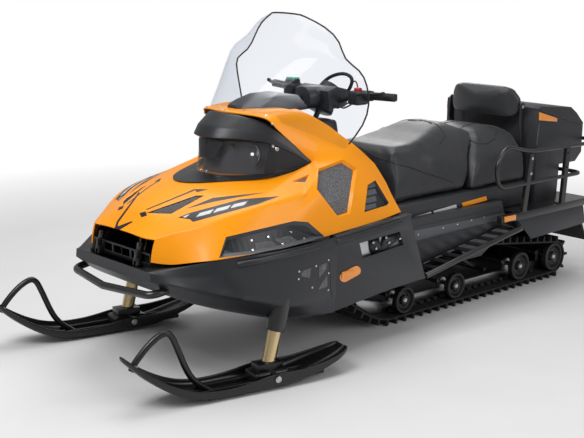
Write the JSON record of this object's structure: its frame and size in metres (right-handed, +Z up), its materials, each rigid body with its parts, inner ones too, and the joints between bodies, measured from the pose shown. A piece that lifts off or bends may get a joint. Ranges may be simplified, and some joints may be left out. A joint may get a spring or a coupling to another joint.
{
  "type": "snowmobile",
  "caption": "Wide-track utility snowmobile with steerable skis, tilting hood, windshield, two-up seat with backrest, side racks and a lidded rear box.",
  "frame": {"origin": "on the ground below the middle of the machine", "axes": "+Z up, -Y towards the nose, +X towards the left side of the machine"},
  "size_m": [1.241, 3.0886, 1.392],
  "materials": {
    "orange_body": "glossy orange moulded plastic",
    "black_plastic": "satin black moulded plastic",
    "grey_mesh": "dark grey plastic with mesh",
    "smoked_lens": "smoked gloss lens",
    "clear_shield": "clear windshield with a black edge",
    "black_steel": "satin black paint",
    "engine_metal": "plain block",
    "tunnel_metal": "dark grey painted sheet",
    "seat_vinyl": "dark grey vinyl",
    "flap_rubber": "black rubber",
    "amber_lens": "amber lens",
    "track_rubber": "black rubber",
    "wheel_rubber": "black rubber",
    "rail_metal": "bare aluminium",
    "grip_rubber": "black rubber",
    "ski_plastic": "black ski plastic",
    "gold_tube": "gold anodised"
  },
  "bodies": {
    "chassis": {"backrest": "seat_vinyl", "backrest_bracket": "black_steel", "belly_pan": "black_plastic", "console": "black_plastic", "drive_axle": "black_plastic", "driver_seat": "seat_vinyl", "engine_block": "engine_metal", "front_bumper": "black_steel", "front_frame": "black_steel", "front_grille": "black_plastic", "lamps": "amber_lens", "passenger_seat": "seat_vinyl", "rear_deck": "black_steel", "rear_fenders": "black_plastic", "rear_rack": "black_steel", "running_boards": "black_steel", "seat_base": "black_plastic", "side_panels": "black_plastic", "slide_rails": "rail_metal", "snow_flap": "flap_rubber", "suspension_arms": "black_steel", "tow_hitch": "black_steel", "track": "track_rubber", "track_wheels": "wheel_rubber", "trunk_box": "black_plastic", "tunnel": "tunnel_metal"},
    "hood": {"hood_shell": "orange_body", "hood_grilles": "grey_mesh", "lamp_housing": "black_plastic", "lamp_lens": "smoked_lens", "dash_cover": "black_plastic", "windshield": "clear_shield"},
    "trunk_lid": {"trunk_lid": "black_plastic"},
    "handlebar": {"handlebar": "black_steel", "hand_grips": "grip_rubber", "hand_controls": "black_plastic", "gauge_pod": "black_plastic", "grab_strap": "grip_rubber"},
    "ski_left": {"ski_left": "ski_plastic", "ski_handle_left": "black_plastic", "fork_left": "gold_tube"},
    "ski_right": {"ski_right": "ski_plastic", "ski_handle_right": "black_plastic", "fork_right": "gold_tube"}
  },
  "joints": [
    {"name": "hood_tilt", "type": "hinge", "parent": "chassis", "child": "hood", "pos_m": [0, -1.3, 0.49], "axis": [1, 0, 0], "range_deg": [0, 60]},
    {"name": "trunk_lid_hinge", "type": "hinge", "parent": "chassis", "child": "trunk_lid", "pos_m": [0, 0.994, 0.887], "axis": [1, 0, 0], "range_deg": [0, 70]},
    {"name": "handlebar_steer", "type": "hinge", "parent": "chassis", "child": "handlebar", "pos_m": [0, -0.2, 1.01], "axis": [0, 0.5, 0.866], "range_deg": [-18.6, 41.4]},
    {"name": "ski_left_steer", "type": "hinge", "parent": "chassis", "child": "ski_left", "pos_m": [0.475, -0.945, 0.057], "axis": [0, 0.2588, 0.9659], "range_deg": [-18.6, 41.4]},
    {"name": "ski_right_steer", "type": "hinge", "parent": "chassis", "child": "ski_right", "pos_m": [-0.475, -0.945, 0.057], "axis": [0, 0.2588, 0.9659], "range_deg": [-18.6, 41.4]}
  ],
  "couplings": [
    {"joint": "handlebar_steer", "follows": "ski_left_steer", "ratio": 1},
    {"joint": "ski_right_steer", "follows": "ski_left_steer", "ratio": 1}
  ]
}
